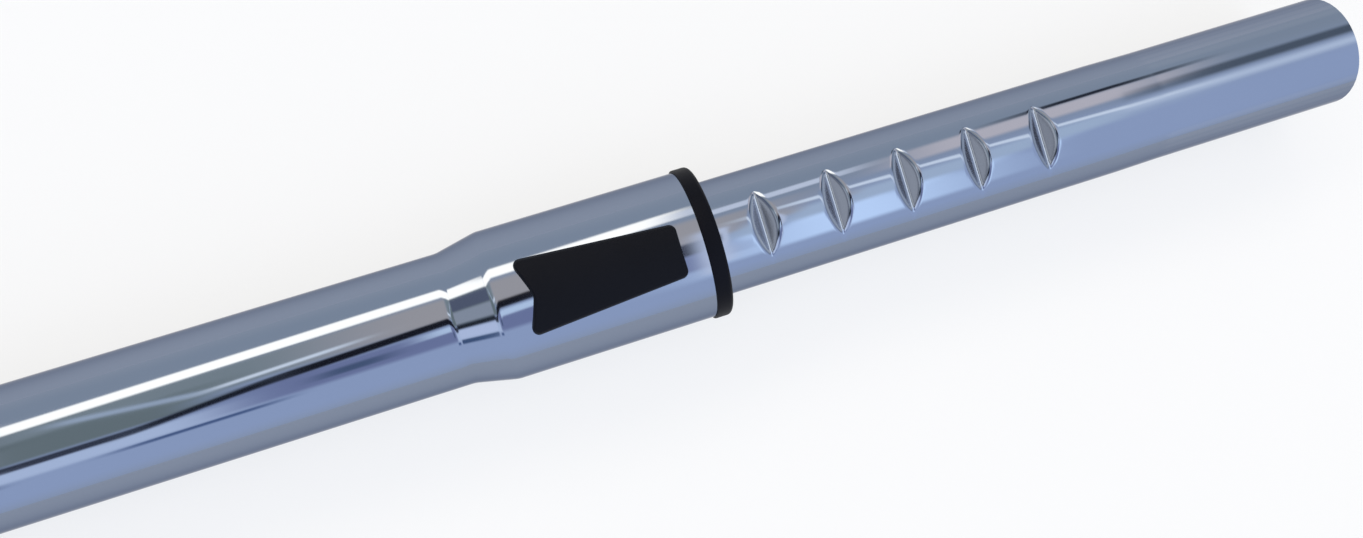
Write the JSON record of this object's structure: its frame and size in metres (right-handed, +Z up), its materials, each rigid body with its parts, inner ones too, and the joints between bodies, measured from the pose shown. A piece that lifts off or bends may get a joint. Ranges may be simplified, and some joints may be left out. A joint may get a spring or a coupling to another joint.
{
  "type": "telescopic vacuum wand",
  "caption": "Telescopic suction tube: a notched inner tube slides in a flared outer tube and is locked by a sprung sliding button, with a hose socket behind and a tool spigot in front.",
  "frame": {"origin": "centre of the hose socket's mouth, on the wand axis", "axes": "+X along the wand axis to the tool end, +Z up through the release button"},
  "size_m": [0.7136, 0.0422, 0.0437],
  "materials": {
    "chromed_tube": "bright chrome plate on drawn steel tube",
    "collar_plastic": "black moulded plastic, satin",
    "button_plastic": "black moulded plastic, fine grain",
    "sleeve_plastic": "natural acetal, as moulded",
    "seal_rubber": "soft black rubber",
    "lock_steel": "hardened steel, ground"
  },
  "bodies": {
    "outer": {"outer_tube": "chromed_tube", "guide_sleeve": "sleeve_plastic", "seal_ring": "seal_rubber", "end_collar": "collar_plastic", "return_spring": "lock_steel"},
    "inner": {"inner_tube": "chromed_tube", "tail_bush": "sleeve_plastic"},
    "button": {"release_button": "button_plastic", "button_slide": "sleeve_plastic"},
    "lock": {"lock_roller": "lock_steel"}
  },
  "joints": [
    {"name": "telescope", "type": "slide", "parent": "outer", "child": "inner", "axis": [1, 0, 0], "range_m": [-0.1224, 0.2448]},
    {"name": "button_push", "type": "slide", "parent": "outer", "child": "button", "axis": [1, 0, 0], "range_m": [0, 0.005], "stiffness_N_per_m": 500, "springref_m": -0.006, "deforming": ["return_spring"]},
    {"name": "roller_lift", "type": "slide", "parent": "outer", "child": "lock", "axis": [0, 0, 1], "range_m": [0, 0.00233]}
  ],
  "couplings": [
    {"joint": "roller_lift", "follows": "button_push", "ratio": 0.46591}
  ]
}
